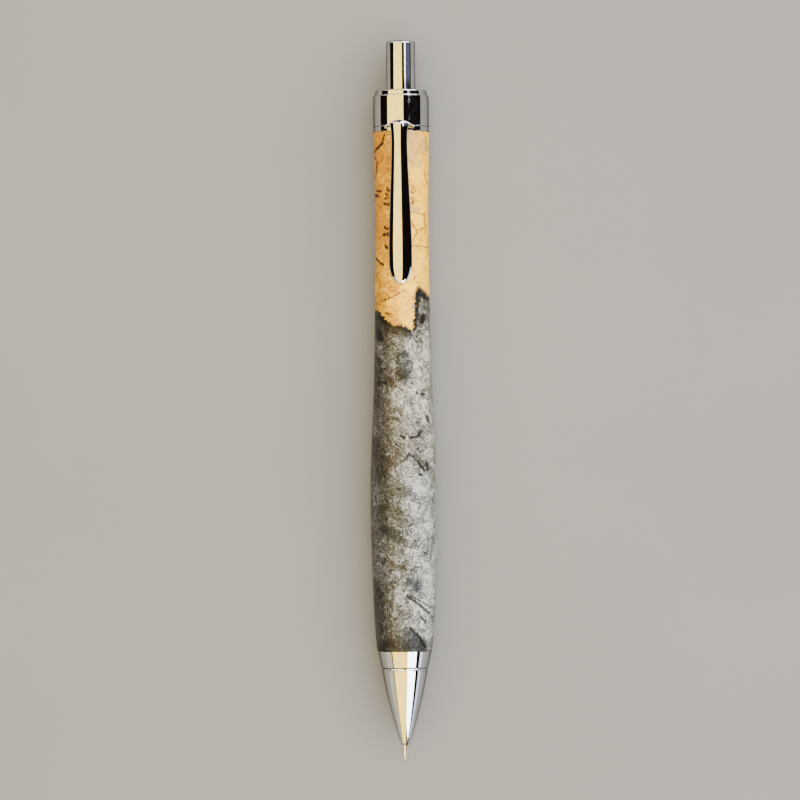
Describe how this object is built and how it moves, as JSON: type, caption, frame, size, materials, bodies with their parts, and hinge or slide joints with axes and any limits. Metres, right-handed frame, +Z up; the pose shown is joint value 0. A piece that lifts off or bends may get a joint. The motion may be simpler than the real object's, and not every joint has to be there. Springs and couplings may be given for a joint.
{
  "type": "mechanical pencil",
  "caption": "Click-action mechanical pencil with a turned burl barrel, a pointed bright metal nose, a sprung pocket clip, a collar and a long push button over an eraser.",
  "frame": {"origin": "on the resting surface, below the middle of the pencil's length and below its axis", "axes": "+X along the pencil towards the push button (the lead mouth is at -X), +Y across it, +Z up, on the side of the clip"},
  "size_m": [0.14, 0.013, 0.0147],
  "materials": {
    "burl_wood": "satin-gloss lacquered two-tone burl, golden above and grey-brown below",
    "bright_chrome": "mirror-polished plating",
    "nozzle_steel": "fine-turned bright steel",
    "brass": "turned, unpolished",
    "spring_steel": "drawn wire",
    "clear_plastic": "translucent, moulded",
    "eraser_rubber": "matt white",
    "retainer_rubber": "matt black",
    "graphite": "smooth polymer graphite"
  },
  "bodies": {
    "barrel": {"barrel_blank": "burl_wood", "barrel_tube": "brass", "nose_coupler": "bright_chrome", "rear_coupler": "brass", "top_collar": "bright_chrome", "clip_ring": "bright_chrome", "mechanism_sleeve": "brass", "lead_nozzle": "nozzle_steel", "lead_retainer": "retainer_rubber", "return_spring": "spring_steel"},
    "nose": {"nose_cone": "bright_chrome"},
    "clip": {"clip_arm": "bright_chrome"},
    "core": {"chuck": "brass", "chuck_adapter": "clear_plastic", "lead_reservoir": "clear_plastic", "spare_leads": "graphite", "eraser_ferrule": "brass"},
    "clutch": {"clutch_ring": "brass"},
    "lead": {"working_lead": "graphite"},
    "button": {"push_button": "bright_chrome"},
    "rubber": {"eraser": "eraser_rubber"}
  },
  "joints": [
    {"name": "button_press", "type": "slide", "parent": "barrel", "child": "core", "axis": [-1, 0, 0], "range_m": [0, 0.0025], "stiffness_N_per_m": 700, "springref_m": -0.003, "deforming": ["return_spring"]},
    {"name": "clutch_slide", "type": "slide", "parent": "barrel", "child": "clutch", "axis": [-1, 0, 0], "range_m": [0, 0.001]},
    {"name": "lead_feed", "type": "slide", "parent": "core", "child": "lead", "axis": [-1, 0, 0], "range_m": [0, 0.006]},
    {"name": "clip_flex", "type": "hinge", "parent": "barrel", "child": "clip", "pos_m": [0.0533, 0, 0.01325], "axis": [0, 1, 0], "range_deg": [0, 4], "stiffness_Nm_per_rad": 1.2},
    {"name": "nose_cone_unscrew", "type": "slide", "parent": "barrel", "child": "nose", "axis": [-1, 0, 0], "range_m": [0, 0.0044]},
    {"name": "button_pull", "type": "slide", "parent": "core", "child": "button", "axis": [1, 0, 0], "range_m": [0, 0.022]},
    {"name": "eraser_pull", "type": "slide", "parent": "core", "child": "rubber", "axis": [1, 0, 0], "range_m": [0, 0.008]}
  ],
  "couplings": [
    {"joint": "clutch_slide", "follows": "button_press", "ratio": 0.4},
    {"joint": "eraser_pull", "follows": "button_pull", "ratio": 0.36364}
  ]
}
